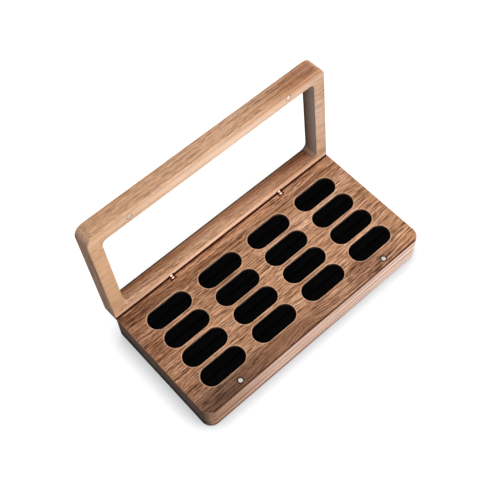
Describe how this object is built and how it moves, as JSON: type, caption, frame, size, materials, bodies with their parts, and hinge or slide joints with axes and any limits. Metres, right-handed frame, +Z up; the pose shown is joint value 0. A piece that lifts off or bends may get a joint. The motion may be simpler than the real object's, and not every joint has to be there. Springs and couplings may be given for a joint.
{
  "type": "ring display box",
  "caption": "Walnut ring display box: oblong velvet-padded pockets in a milled tray, hinged lid with a clear window, small magnets and pin hinges.",
  "frame": {"origin": "centre of the tray's underside", "axes": "+X along the hinge line, -Y to the front edge, +Z up; at rest the lid stands open"},
  "size_m": [0.18, 0.1061, 0.1057],
  "materials": {
    "walnut": "oiled, fine straight grain along the box",
    "pane": "clear, polished",
    "nickel": "nickel plated, satin",
    "copper_brass": "reddish brass, polished",
    "velvet": "black velvet"
  },
  "bodies": {
    "tray": {"base_tray": "walnut", "tray_magnet_left": "nickel", "tray_magnet_right": "nickel", "hinge_fork_left": "copper_brass", "hinge_fork_right": "copper_brass", "hinge_pin_left": "copper_brass", "hinge_pin_right": "copper_brass", "pad_a1_back": "velvet", "pad_a1_front": "velvet", "pad_a2_back": "velvet", "pad_a2_front": "velvet", "pad_a3_back": "velvet", "pad_a3_front": "velvet", "pad_a4_back": "velvet", "pad_a4_front": "velvet", "pad_b1_back": "velvet", "pad_b1_front": "velvet", "pad_b2_back": "velvet", "pad_b2_front": "velvet", "pad_b3_back": "velvet", "pad_b3_front": "velvet", "pad_b4_back": "velvet", "pad_b4_front": "velvet", "pad_c1_back": "velvet", "pad_c1_front": "velvet", "pad_c2_back": "velvet", "pad_c2_front": "velvet", "pad_c3_back": "velvet", "pad_c3_front": "velvet", "pad_c4_back": "velvet", "pad_c4_front": "velvet", "pad_d1_back": "velvet", "pad_d1_front": "velvet", "pad_d2_back": "velvet", "pad_d2_front": "velvet", "pad_d3_back": "velvet", "pad_d3_front": "velvet", "pad_d4_back": "velvet", "pad_d4_front": "velvet"},
    "lid": {"lid_frame": "walnut", "window_pane": "pane", "lid_magnet_left": "nickel", "lid_magnet_right": "nickel", "hinge_eye_left": "copper_brass", "hinge_eye_right": "copper_brass"}
  },
  "joints": [
    {"name": "lid_hinge", "type": "hinge", "parent": "tray", "child": "lid", "pos_m": [0, 0.04211, 0.0211], "axis": [1, 0, 0], "range_deg": [0, 95]}
  ]
}
